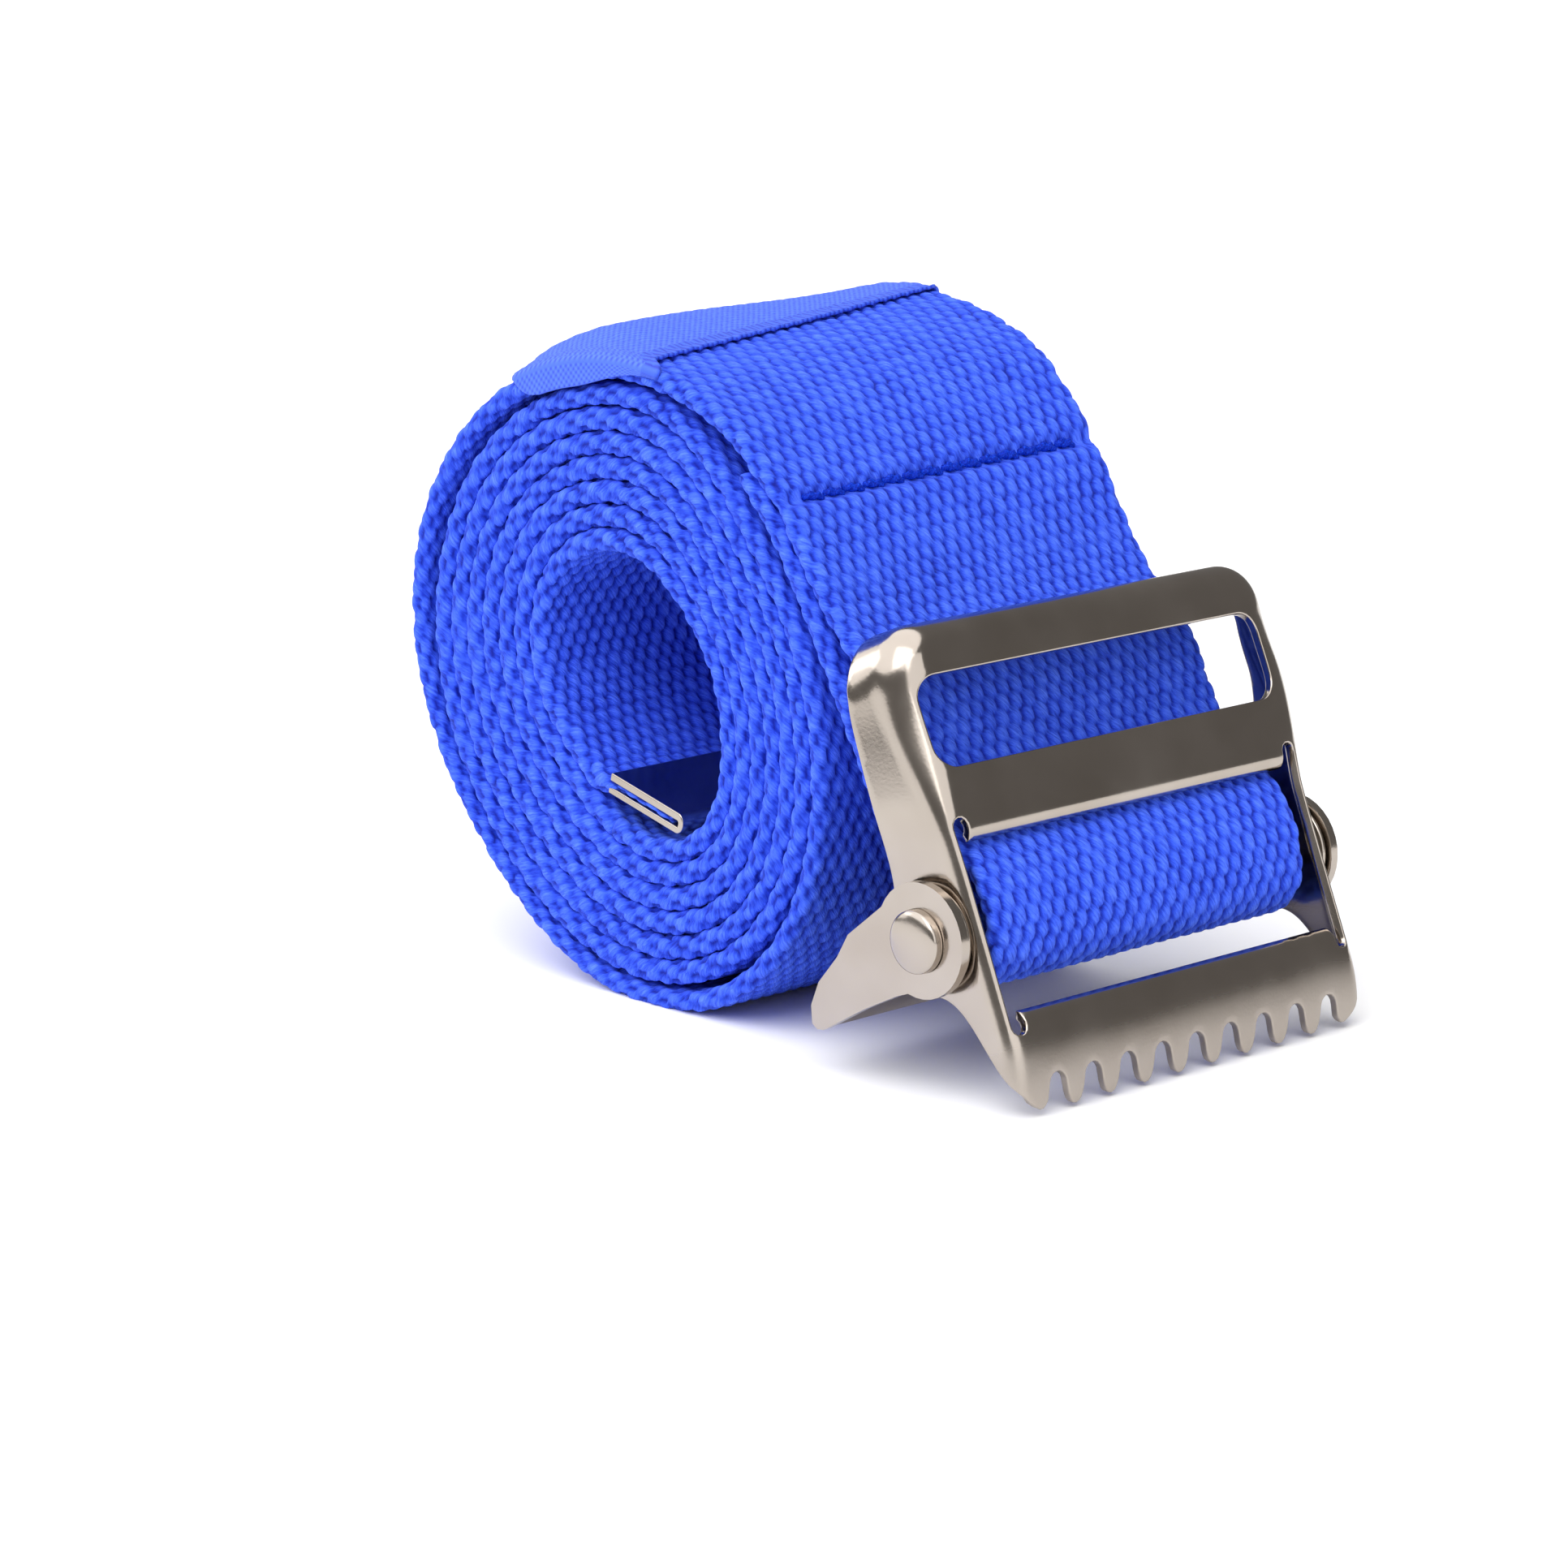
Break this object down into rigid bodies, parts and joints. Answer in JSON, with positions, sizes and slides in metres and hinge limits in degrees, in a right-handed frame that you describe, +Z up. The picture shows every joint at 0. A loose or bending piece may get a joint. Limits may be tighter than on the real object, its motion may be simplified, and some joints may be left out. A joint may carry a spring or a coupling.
{
  "type": "gait belt",
  "caption": "Rolled cotton-webbing transfer belt with a riveted, toothed metal buckle, cloth label and crimped metal end, standing on its rim.",
  "frame": {"origin": "on the table, at the middle of the flat where the roll's outer turn rests, halfway across the webbing", "axes": "+X from the roll to the buckle, +Y across the webbing, +Z up"},
  "size_m": [0.1057, 0.0654, 0.0759],
  "materials": {
    "webbing": "coarse woven cotton",
    "label_cloth": "fine smooth weave",
    "thread": "twisted sewing thread",
    "nickel": "bright nickel plate on pressed steel"
  },
  "bodies": {
    "roll": {"webbing_roll": "webbing", "woven_label": "label_cloth", "end_tip": "nickel"},
    "strap": {"webbing_tail": "webbing", "loop_stitching": "thread"},
    "frame": {"buckle_frame": "nickel"},
    "clamp": {"buckle_base": "nickel", "pivot_bar": "nickel", "left_rivet": "nickel", "right_rivet": "nickel", "left_washer": "nickel", "right_washer": "nickel"}
  },
  "joints": [
    {"name": "strap_flex", "type": "hinge", "parent": "roll", "child": "strap", "pos_m": [0.0069, 0, 0.0736], "axis": [0, 1, 0], "range_deg": [-40, 0]},
    {"name": "frame_pivot", "type": "hinge", "parent": "strap", "child": "frame", "pos_m": [0.0507, 0, 0.0183], "axis": [0, 1, 0], "range_deg": [0, 50]},
    {"name": "clamp_pivot", "type": "hinge", "parent": "strap", "child": "clamp", "pos_m": [0.0507, 0, 0.0183], "axis": [0, 1, 0], "range_deg": [-25, 0]}
  ]
}
